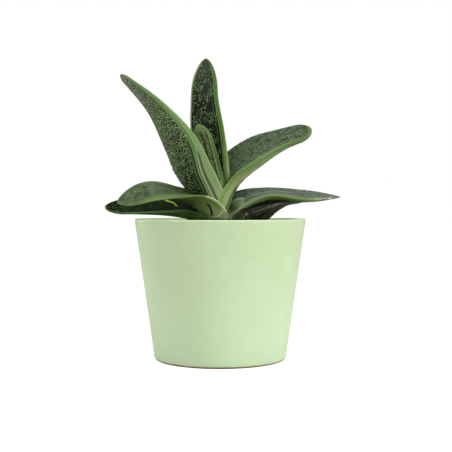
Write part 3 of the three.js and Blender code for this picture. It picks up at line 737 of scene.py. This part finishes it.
class LeafPaint:
    # a leaf's colours, layer on layer, with the wires that every layer reads
    def __init__(self, plan, look):
        self.plan = plan
        self.look = look
        self.share, self.upper, self.side = map(plan.number, ("share", "upperFace", "sideFace"))
        self.lower = (1 - self.upper - self.side).clipped()
        self.margin, self.thin, self.keel = map(plan.number, ("fromMargin", "fromThin", "fromKeel"))
        self.broad = self.skinNoise(0.02, 0.42)
        self.streaks = self.skinNoise(0.035, 1.2, 3, 0.6)
        self.fibres = self.skinNoise(0.05, 3.4)
        self.mottle = self.skinNoise(0.26, 0.26, 3, 0.6)
        self.grain = self.skinNoise(1.7, 1.7, 2, 0.6)
        self.specks = self.skinNoise(0.9, 2.2, 1)
        self.pits = self.skinNoise(0.75, 1.5, 1)
        self.wart = plan.number("wartTop").rise(0.05, 0.5)
        dark, light = (plan.alongLeaf(self.share, [dimmed(shade, by) for shade in look["wart"]])
                       for by in (0.82, 1.12))
        self.wartTone = plan.mix(plan.number("wartTone"), dark, light)

    def skinNoise(self, along, around, detail=2, rough=0.5, twist=0.0):
        # noise on the unrolled skin, in mm
        place = self.plan.scaled(self.plan.place("skinPlace"), (along, around, 1))
        return self.plan.noise(place, 1.0, detail, rough, twist)

    def faces(self):
        # the two broad faces: clouded, dark at the foot, hazy to the tip, flat spots between the warts
        plan, look, share = self.plan, self.look, self.share
        cloud = ((self.mottle - 0.5) * look["patches"]
                 + (self.broad + self.streaks - 1) * (0.75 * look["streak"]) + self.grain * 0.5
                 + (self.pits - 0.5) * look["pits"] + 0.25).clipped()
        sides = [plan.mix(cloud, *look[key]) for key in ("lower", "upper")]
        face = plan.mix(self.upper, *sides)
        dark = plan.mix(self.upper, *(dimmed(look[key][0], 0.8) for key in ("lower", "upper")))
        face = plan.mix(share.fall(0.12, 0.42) * look["footDark"], face, dark)
        if "haze" in look:
            wrinkles = self.skinNoise(0.6, 1.3, 3, 0.6, 1.5)
            worn = plan.mix(wrinkles.rise(0.35, 0.65), *look["haze"])
            face = plan.mix(share.rise(look["hazeFrom"], 0.95) * look["hazeBy"], face, worn)
        if "rim" in look:
            tone, width, strength = look["rim"]
            edge = self.thin.fall(0.0, width) * strength * self.pits.rise(0.36, 0.62)
            face = plan.mix(edge, face, tone)
        spot = plan.cells(plan.objectPlace(), 820.0).fall(0.24, 0.42)
        spot = spot * plan.number("wartCover").rise(0.05, 0.6)
        return plan.mix(spot * look["spots"], face, self.wartTone)

    def smoothTone(self, tones, fibreFrom):
        # a band's colour: darker streaks and pale fibres along the leaf
        plan, look = self.plan, self.look
        tone = plan.mix((self.streaks * 2.2 - 0.7).clipped() * look["streak"],
                        plan.alongLeaf(self.share, tones),
                        plan.alongLeaf(self.share, [dimmed(shade, 0.66) for shade in tones]))
        return plan.mix(self.fibres.rise(fibreFrom, 0.75) * 0.4, tone, dimmed(look["base"], 0.95))

    def edges(self, colour):
        # smooth bands beside the margins and the keel, and the leaf's pale foot
        plan, look = self.plan, self.look

        def beside(run, key, low=-0.3, high=0.25):
            return (run - plan.number(key)).fall(low, high)

        soft = look["soft"]
        onUpper = self.upper * beside(self.margin, "bandUpper", -0.35 * soft, 0.25 * soft)
        onThin = self.upper * beside(self.thin, "bandThin", -0.3 * soft, 0.25 * soft)
        onLower = self.lower * beside(self.keel, "bandLower")
        onUnder = self.lower * beside(self.thin, "bandUnder")
        onSide = self.side * beside(self.margin, "bandSide", -0.35)
        band = plan.largest(plan.largest(onUpper, onLower), plan.largest(onThin, onUnder))
        colour = plan.mix(band, colour, self.smoothTone(look["band"], 0.45))
        colour = plan.mix(onSide, colour, self.smoothTone(look["side"], 0.4))
        pale = self.share.fall(look["paleTo"] * 0.4, look["paleTo"])
        pale = pale * (look["paleFace"] + plan.largest(band, onSide) * (1 - look["paleFace"]))
        pale = (pale + (self.streaks - 0.5) * pale * 0.7).clipped()
        return plan.mix(pale * 0.8, colour, look["base"])

    def line(self, colour, edge, at, width, tone, strength, begin, end, *flecked):
        # a hairline or a stripe that runs the leaf's length
        run, where = {
            "margin": (self.margin - self.plan.number("bandUpper"), self.upper),
            "thin": (self.thin, self.upper), "under": (self.thin, self.lower),
            "side": (self.margin, self.side), "crest": (self.keel, self.side),
            "keel": (self.keel, self.lower)}[edge]
        if isinstance(at, tuple):
            run, at = run - (self.share - begin) * ((at[1] - at[0]) / (end - begin)), at[0]
        fade = 0.05 if end - begin > 0.15 else 0.01
        window = self.share.fall(end - fade, end)
        if begin > 0:
            window = window * self.share.rise(begin, begin + fade)
        drawn = self.plan.strip(run, at, width) * where * window
        broken = self.specks.rise(0.58, 0.66) if flecked else 0.65 + self.grain * 0.7
        return self.plan.mix((drawn * broken).clipped() * strength, colour, tone)

    def tipAndFootShade(self, colour):
        # a worn tip, and painted shade on the foot, darkest just below the pot's rim, down in the pot's
        # mouth
        plan, look = self.plan, self.look
        worn = plan.number("fromTip").fall(0.2, look["tipReach"]) * 0.8
        colour = plan.mix(worn, colour, look["tip"])
        # painted shade in the pot's mouth: dark brown, deepest just under the rim's level and lighter
        # further down
        level = plan.axis(plan.objectPlace(), "Z") * 1000 + (self.broad + self.mottle - 1) * 3.2
        footShade = level.fall(97.8, 99.4) * (0.5 + level.rise(94, 97.6) * 0.4)
        return plan.mix(footShade, colour, (31, 27, 16))


def leafFinish(name, look):
    finish, plan = newFinish(name)
    paint = LeafPaint(plan, look)
    colour = paint.edges(paint.faces())
    for line in look["lines"]:
        colour = paint.line(colour, *line)
    colour = plan.mix(paint.wart, colour, paint.wartTone)
    closeFinish(plan, colour=paint.tipAndFootShade(colour), specular=look["gloss"],
                roughness=look["shine"] + paint.grain * 0.12 + paint.wart * 0.14,
                normal=plan.bump(paint.fibres * 0.5 + paint.grain * 0.6, 0.00012, 0.6))
    return finish


# One tree raises the warts of every leaf: lens-shaped domes strewn over the skin.
def wartTree():
    plan, given = newTree("leafWarts", Spacing="Float", Width="Float", Height="Float", Sides="Int",
                          Rings="Int", Seed="Int", Finish="Material")
    spots = plan.strewn(given["Base"], plan.named("wartCover"), given["Spacing"], leafMake["mostWarts"],
                        given["Seed"])
    stand = plan.spun(plan.other(spots, "Rotation"), 7)
    spots = plan.stored(spots, "wartTone", plan.drawn(0.0, 1.0, 2))
    ball = plan.add("GeometryNodeMeshUVSphere", out="Mesh", values={
        "Segments": given["Sides"], "Rings": given["Rings"], "Radius": 1.0})
    ball = plan.stored(ball, "wartTop", plan.axis(plan.position(), "Z"))
    ball = plan.add("GeometryNodeSetShadeSmooth", {"Geometry": ball})
    half = given["Width"] * 0.5
    size = plan.scaled(plan.joined(half, half, given["Height"]), plan.drawn(0.6, 1.12, 9))
    size = plan.scaled(size, plan.drawn((0.85, 0.7, 0.8), (1.2, 1.0, 1.15), 4))
    domes = plan.planted(spots, ball, stand, size)
    return plan.deliver(plan.merged(domes, given["Base"]), given["Finish"])


warts = wartTree()
for node, form in leafForms.items():
    look = {**usualLook, **leafLooks[node]}
    skinFinish = leafFinish(node + "_skin", look)
    leaf = leafSkin(node.replace("leaf", "gasteria_leaf"), form, look, skinFinish)
    leaf = growOn(leaf, warts, Spacing=look["spacing"] * mm, Width=look["width"] * mm,
                  Height=look["height"] * mm, Sides=leafMake["wartSides"], Rings=leafMake["wartRings"],
                  Seed=look["seed"], Finish=skinFinish)
    dress(leaf, node)
    print("leaf grown:", node, len(leaf.data.polygons), "faces")


# Pot

pot = {"height": 98.2, "rimRadius": 60, "footRadius": 43.5, "edgeRound": 3, "wall": 5, "floor": 7,
       "rimRound": 1.6, "sides": 192, "bareLine": 1.25, "glaze": (204, 226, 184),
       "glazeDeepAndShade": (183, 202, 157), "speck": (150, 150, 112), "clay": (112, 76, 46),
       "clayPale": (164, 126, 92)}
potTaper = (pot["rimRadius"] - pot["footRadius"] - pot["edgeRound"]) / (pot["height"] - pot["edgeRound"])


def potRadiusAt(height):
    return pot["rimRadius"] - potTaper * (pot["height"] - height)


def bend(start, knee, end, count=8):
    s = np.linspace(0, 1, count + 1)[1:, None]
    start, knee, end = (np.array(point, float) for point in (start, knee, end))
    return [tuple(point) for point in (1 - s) ** 2 * start + 2 * s * (1 - s) * knee + s ** 2 * end]


def potOutline():
    high, wall, floor = pot["height"], pot["wall"], pot["floor"]
    rim, edge = pot["rimRound"], pot["edgeRound"]
    outline = [(0, 0), (20, 0), (38, 0), (pot["footRadius"], 0)]
    outline += bend(outline[-1], (potRadiusAt(0), 0), (potRadiusAt(edge), edge))
    outline += [(potRadiusAt(z), z) for z in np.linspace(edge, high - rim, 26)[1:]]
    outline += bend(outline[-1], (pot["rimRadius"], high), (pot["rimRadius"] - rim, high))
    inner = pot["rimRadius"] - wall
    outline += bend((inner + rim, high), (inner, high), (potRadiusAt(high - rim) - wall, high - rim))
    outline += [(potRadiusAt(z) - wall, z) for z in np.linspace(high - rim, 2 * floor, 20)[1:]]
    flat = potRadiusAt(floor) - wall
    return outline + bend(outline[-1], (flat, floor), (flat - floor, floor)) + [(20, floor), (0, floor)]


# A closed outline of radius and height, turned round the Z axis.
def turnTree():
    plan, given = newTree("turnedBody", Points="Int", Sides="Int", Finish="Material")
    sheet = plan.add("GeometryNodeMeshGrid", {
        "Size X": given["Points"] - 1, "Size Y": given["Sides"], "Vertices X": given["Points"],
        "Vertices Y": given["Sides"] + 1}, out="Mesh")
    where = plan.position()
    number = plan.axis(where, "X") + (given["Points"] - 1) * 0.5 + 0.25
    angle = plan.axis(where, "Y") / given["Sides"] * (2 * math.pi)
    corner = plan.add("GeometryNodeSampleIndex", data_type="FLOAT_VECTOR", domain="POINT", values={
        "Geometry": given["Base"], "Value": where, "Index": plan.math("FLOOR", number)})
    radius = plan.axis(corner, "X")
    spot = plan.joined(radius * plan.math("COSINE", angle), radius * plan.math("SINE", angle),
                       plan.axis(corner, "Z"))
    body = plan.add("GeometryNodeSetPosition", {"Geometry": sheet, "Position": spot})
    body = plan.add("GeometryNodeMergeByDistance", {"Geometry": body, "Distance": 2e-6})
    return plan.deliver(body, given["Finish"])


turning = turnTree()


def turnedPiece(name, outline, sides, finish):
    corners = [(radius * mm, 0, height * mm) for radius, height in outline]
    piece = meshPiece(name, corners, [], edges=[(i, i + 1) for i in range(len(corners) - 1)])
    return growOn(piece, turning, Points=len(corners), Sides=sides, Finish=finish)


def glazeFinish():
    finish, plan = newFinish("potGlaze")
    place = plan.objectPlace()
    height = plan.axis(place, "Z") * 1000
    cloud = plan.noise(place, 22, 3, 0.55)
    fine = plan.noise(place, 160, 3, 0.6)
    wheel = plan.noise(plan.scaled(place, (6, 6, 160)), 1.0, 2, 0.5)
    # the glaze clouds at random and grows darker towards the rim; that darkening towards the rim is
    # painted shade
    colour = plan.mix((cloud * 0.7 + fine * 0.3 + 0.4 - height * 0.007).clipped(),
                      pot["glazeDeepAndShade"], pot["glaze"])
    speck = plan.cells(place, 90)
    chosen = plan.noise(place, 60, 0).rise(0.7, 0.74)
    colour = plan.mix(speck.fall(0.04, 0.09) * chosen * 0.5, colour, pot["speck"])
    bareLine = pot["bareLine"] + (plan.noise(place, 90, 3) - 0.5) * 1.1
    bare = (height - bareLine).fall(-0.12, 0.2)
    colour = plan.mix(bare, colour, plan.mix(fine, pot["clay"], pot["clayPale"]))
    relief = cloud * 0.5 + wheel * 0.12 + fine * 0.04 - bare * 0.3
    closeFinish(plan, colour=colour, roughness=(0.34 + fine * 0.12) * (1 - bare) + bare * 0.85,
                specular=0.45, normal=plan.bump(relief, 0.0006, 0.5))
    return finish


potPiece = turnedPiece("planter_pot", potOutline(), pot["sides"], glazeFinish())
dress(potPiece, "pot")
print("pot turned:", len(potPiece.data.polygons), "faces")


# Stem and roots

stem = {"outline": [(0, 58), (4, 60), (7.5, 72), (9.5, 84), (10.5, 88), (10, 91), (7, 95), (0, 98)],
        "sides": 72, "scarPitch": 2.1, "scarDepth": 0.35, "roots": 5, "rootRadius": 3.2,
        "rootTip": 0.9, "rootSides": 14}


def stemFinish():
    finish, plan = newFinish("stemSkin")
    place = plan.objectPlace()
    rings = plan.noise(plan.scaled(place, (60, 60, 700)), 1.0, 3, 0.6)
    blot = plan.noise(place, 180, 3, 0.6)
    colour = plan.mix((rings * 1.4 - 0.2).clipped(), (66, 52, 34), (136, 120, 82))
    colour = plan.mix(blot.rise(0.5, 0.7) * 0.6, colour, (140, 92, 62))
    closeFinish(plan, colour=colour, roughness=0.6 + blot * 0.3, specular=0.3,
                normal=plan.bump(rings + blot * 0.4, 0.0004, 0.8))
    return finish


def stemOutline():
    # the core's side, with a shallow ring where each old leaf sat
    outline = []
    for radius, height in stationCurve(np.array(stem["outline"], float), np.linspace(0, 1, 70)):
        if height > 80:
            scar = abs(((height / stem["scarPitch"]) % 1) - 0.5) * 2
            radius -= stem["scarDepth"] * scar * min(1, max(0, radius) / 4)
        outline.append((max(0.0, radius), height))
    return outline


def rootPath(number):
    heading = (number + 0.35 * scattered(number * 127.1 + 311.7)) * 2 * math.pi / stem["roots"]
    drop = 24 + 14 * scattered((number + 20) * 127.1 + 311.7)
    corners = []
    for i, (reach, height) in enumerate([(2, 79), (11, 72), (20, 63), (28, 60 - drop)]):
        turn = heading + 0.25 * (scattered((number * 7 + i) * 127.1 + 311.7) - 0.5) * i
        corners.append((reach * math.cos(turn), reach * math.sin(turn), height))
    return stationCurve(corners, np.linspace(0, 1, 40))


# Fleshy roots that follow their paths: a tapering tube round each path, gently wrinkled.
def rootTree():
    plan, given = newTree("stemRoots", Radius="Float", TipRadius="Float", Sides="Int", Finish="Material")
    path = plan.add("GeometryNodeMeshToCurve", {"Mesh": given["Base"]})
    along = plan.add("GeometryNodeSplineParameter", out="Factor")
    wide = given["Radius"] + (given["TipRadius"] - given["Radius"]) * along
    ring = plan.add("GeometryNodeCurvePrimitiveCircle", out="Curve", values={
        "Resolution": given["Sides"], "Radius": 1.0})
    tube = plan.add("GeometryNodeCurveToMesh", {
        "Curve": path, "Profile Curve": ring, "Scale": wide, "Fill Caps": True})
    wrinkle = plan.noise(plan.position(), 420, 2) - 0.5
    push = plan.add("ShaderNodeVectorMath", operation="SCALE", values={
        0: plan.add("GeometryNodeInputNormal"), "Scale": wrinkle * 0.0007})
    tube = plan.add("GeometryNodeSetPosition", {"Geometry": tube, "Offset": push})
    return plan.deliver(tube, given["Finish"])


def rootedStem(finish):
    core = turnedPiece("gasteria_stem", stemOutline(), stem["sides"], finish)
    points, edges = [], []
    for number in range(stem["roots"]):
        path = rootPath(number) * mm
        edges += [(len(points) + i, len(points) + i + 1) for i in range(len(path) - 1)]
        points += list(path)
    roots = meshPiece("gasteria_roots", points, [], edges=edges)
    roots = growOn(roots, rootTree(), Radius=stem["rootRadius"] * mm, TipRadius=stem["rootTip"] * mm,
                   Sides=stem["rootSides"], Finish=finish)
    return core, roots


core, roots = rootedStem(stemFinish())
dress(core, "stem_with_roots")
dress(roots, "stem_with_roots")
print("stem rooted:", len(core.data.polygons), "and", len(roots.data.polygons), "faces")


# Soil

# Each kind of grit: how far apart, how long, its shape, facets, dark and light.
soil = {"level": 84.2, "mound": 1.6, "lumps": 1.76, "clearance": 0.35, "sides": 144, "rings": 44,
        "dry": (78, 62, 46), "wet": (24, 19, 15), "damp": (44, 32, 22), "mostGrit": 6e5,
        "grit": {"Bark": (5.0, 5.2, (0.5, 0.3, 0.12), 2, (46, 33, 24), (116, 86, 58)),
                 "Pumice": (5.0, 3.2, (0.5, 0.42, 0.36), 2, (112, 102, 84), (196, 186, 164)),
                 "Crumb": (1.7, 1.6, (0.5, 0.42, 0.34), 1, (32, 25, 19), (92, 72, 52))}}


def soilFinish():
    # gritKind is 0 on the ground and then 1, 2, 3 in the order of soil["grit"]
    finish, plan = newFinish("pottingSoil")
    place = plan.objectPlace()
    kind, tone = plan.number("gritKind"), plan.number("gritTone")
    crumbs = plan.noise(place, 320, 5, 0.7)
    damp = plan.noise(place, 40, 3, 0.6)
    rind = plan.noise(plan.scaled(place, (300, 900, 700)), 1.0, 4, 0.6)
    colour = plan.mix((crumbs * 1.5 - 0.25).clipped(), soil["wet"], soil["dry"])
    colour = plan.mix(damp.rise(0.45, 0.7) * 0.4, colour, soil["damp"])
    shares = [rind * 0.9 + tone * 0.6 - 0.3, crumbs * 0.8 + tone * 0.5 - 0.2,
              crumbs * 0.6 + tone * 0.9 - 0.3]
    for number, (share, (*_, dark, light)) in enumerate(zip(shares, soil["grit"].values())):
        own = plan.mix(share.clipped(), dark, light)
        colour = plan.mix(kind.rise(number + 0.4, number + 0.6), colour, own)
    closeFinish(plan, colour=colour, roughness=0.95, specular=0.2,
                normal=plan.bump(crumbs + rind * 0.4, 0.0009, 0.9))
    return finish


# Loose pieces of the mix on the ground, each a worn lump; bark and pumice lie in drifts.
def gritTree():
    sizes = {label + part: "Float" for label in soil["grit"] for part in ("Spacing", "Size")}
    plan, given = newTree("soilGrit", **sizes, Seed="Int", Finish="Material")
    cover = plan.named("gritCover")
    drift = plan.noise(plan.position(), 75, 1).rise(0.44, 0.6)
    covers = [cover * drift, cover * (1 - drift * 0.9) * 0.12, cover]
    parts = [given["Base"]]
    for number, (label, lies) in enumerate(zip(soil["grit"], covers), 1):
        shape, facets = soil["grit"][label][2:4]
        spots = plan.strewn(given["Base"], lies, given[label + "Spacing"], soil["mostGrit"],
                            given["Seed"] + number * 11)
        stand = plan.spun(plan.other(spots, "Rotation"), number * 5)
        stand = plan.turned(stand, plan.drawn((-0.3, -0.3, 0.0), (0.3, 0.3, 0.0), number * 5 + 1))
        spots = plan.stored(spots, "gritTone", plan.drawn(0.0, 1.0, number * 5 + 2))
        spots = plan.stored(spots, "gritKind", float(number))
        lump = plan.add("GeometryNodeMeshIcoSphere", {"Radius": 1.0, "Subdivisions": facets}, out="Mesh")
        size = plan.scaled(plan.scaled(plan.joined(*shape), given[label + "Size"]),
                           plan.drawn((0.35, 0.4, 0.5), (1.2, 1.25, 1.1), number * 5 + 3))
        lumps = plan.planted(spots, lump, stand, size)
        wear = plan.noise(plan.position(), 420.0, 1.0, out="Color")
        wear = plan.add("ShaderNodeVectorMath", {0: wear, 1: (0.5, 0.5, 0.5)}, operation="SUBTRACT")
        wear = plan.scaled(plan.scaled(wear, given[label + "Size"]), (0.55, 0.55, 0.3))
        parts.append(plan.add("GeometryNodeSetPosition", {"Geometry": lumps, "Offset": wear}))
    return plan.deliver(plan.merged(*parts), given["Finish"])


def soilPiece(finish):
    inner = potRadiusAt(soil["level"]) - pot["wall"] - soil["clearance"]
    bottom = pot["floor"] + soil["clearance"]
    low = potRadiusAt(2 * pot["floor"]) - pot["wall"] - soil["clearance"]
    outline = [(0, bottom), (low - pot["floor"], bottom)]
    outline += bend(outline[-1], (low, bottom), (low, 2 * pot["floor"]), 4)
    outline += [(inner, soil["level"] - 0.4)]
    outline += [(inner * ring / soil["rings"], soil["level"]) for ring in range(soil["rings"], -1, -1)]
    piece = turnedPiece("potting_soil", outline, soil["sides"], finish)
    count = len(piece.data.vertices)
    places = np.empty(count * 3)
    piece.data.vertices.foreach_get("co", places)
    places = places.reshape(-1, 3) / mm
    reach = np.hypot(places[:, 0], places[:, 1])
    onTop = places[:, 2] > soil["level"] - 0.01
    lumps = (softNoise(places[:, :2], 5.5, 11) * 0.55 + softNoise(places[:, :2], 2.4, 12) * 0.3
             + softNoise(places[:, :2], 1.1, 13) * 0.15)
    lift = soil["mound"] * (1 - (reach / inner) ** 2) + soil["lumps"] * (lumps - 0.45)
    places[:, 2] += np.where(onTop, lift * smoothRise(0, 3, inner - reach + 0.4), 0)
    piece.data.vertices.foreach_set("co", (places * mm).ravel())
    cover = onTop * smoothRise(1.5, 3, inner - reach) * smoothRise(9, 12, reach)
    setFields(piece.data, {"gritCover": cover})
    piece.data.update()
    sizes = {label + part: size * mm for label, kind in soil["grit"].items()
             for part, size in zip(("Spacing", "Size"), kind)}
    return growOn(piece, gritTree(), Seed=4, Finish=finish, **sizes)


ground = soilPiece(soilFinish())
dress(ground, "soil")
print("soil filled:", len(ground.data.polygons), "faces")


# Studio

# Each light has its place, its size in metres and its power in watts.
studio = {"lights": {"key": ((0.9, -0.6, 0.5), 0.7, 7.8), "fill": ((-0.9, -0.6, 0.45), 0.8, 2.7),
                     "edge": ((-1.0, 0.7, 0.3), 0.6, 2.6), "top": ((0.1, 0.1, 1.3), 0.9, 6.8)},
          "aim": (0, 0, 0.11), "zenith": 0.8, "horizon": 0.4, "backdrop": 1.0,
          "floorReach": 6.0, "floorGlow": 0.85, "floorBounce": 0.6}


def floorFinish():
    # white to the eye, but it throws back only as much light as a grey table
    finish, plan = newFinish("studioFloor")
    shown = plan.add("ShaderNodeBsdfPrincipled", {
        "Base Color": (0.5, 0.5, 0.5, 1), "Roughness": 0.9, "Specular IOR Level": 0.1,
        "Emission Color": (1, 1, 1, 1), "Emission Strength": studio["floorGlow"]})
    thrown = plan.add("ShaderNodeBsdfDiffuse", {"Color": (studio["floorBounce"],) * 3 + (1,)})
    seen = plan.add("ShaderNodeLightPath", out="Is Camera Ray")
    both = plan.add("ShaderNodeMixShader", {0: seen, 1: thrown, 2: shown})
    plan.add("ShaderNodeOutputMaterial", {"Surface": both})
    return finish


def studioFloor():
    reach = studio["floorReach"]
    corners = [(-reach, -reach, 0), (reach, -reach, 0), (reach, reach, 0), (-reach, reach, 0)]
    meshPiece("studio_floor", corners, [(0, 1, 2, 3)], floorFinish())


def areaLight(name, place, size, power):
    lamp = bpy.data.lights.new(name, "AREA")
    lamp.shape = "DISK"
    lamp.size = size
    lamp.energy = power
    holder = bpy.data.objects.new(name, lamp)
    holder.location = place
    holder.rotation_euler = (Vector(studio["aim"]) - Vector(place)).to_track_quat("-Z", "Y").to_euler()
    bpy.context.scene.collection.objects.link(holder)


def studioSky():
    sky = bpy.data.worlds.new("studioSky")
    bpy.context.scene.world = sky
    sky.use_nodes = True
    sky.node_tree.nodes.clear()
    plan = Plan(sky.node_tree)
    height = plan.axis(plan.add("ShaderNodeTexCoord", out="Generated"), "Z")
    seen = plan.add("ShaderNodeLightPath", out="Is Camera Ray")
    soft = studio["horizon"] + height.rise(0.0, 0.9) * (studio["zenith"] - studio["horizon"])
    strength = soft + seen * (studio["backdrop"] - soft)
    light = plan.add("ShaderNodeBackground", {"Color": (1, 1, 1, 1), "Strength": strength})
    plan.add("ShaderNodeOutputWorld", {"Surface": light})


studioFloor()
studioSky()
for name, light in studio["lights"].items():
    areaLight(name + "_light", *light)
bpy.context.scene.view_settings.view_transform = "Standard"
print("studio lit")
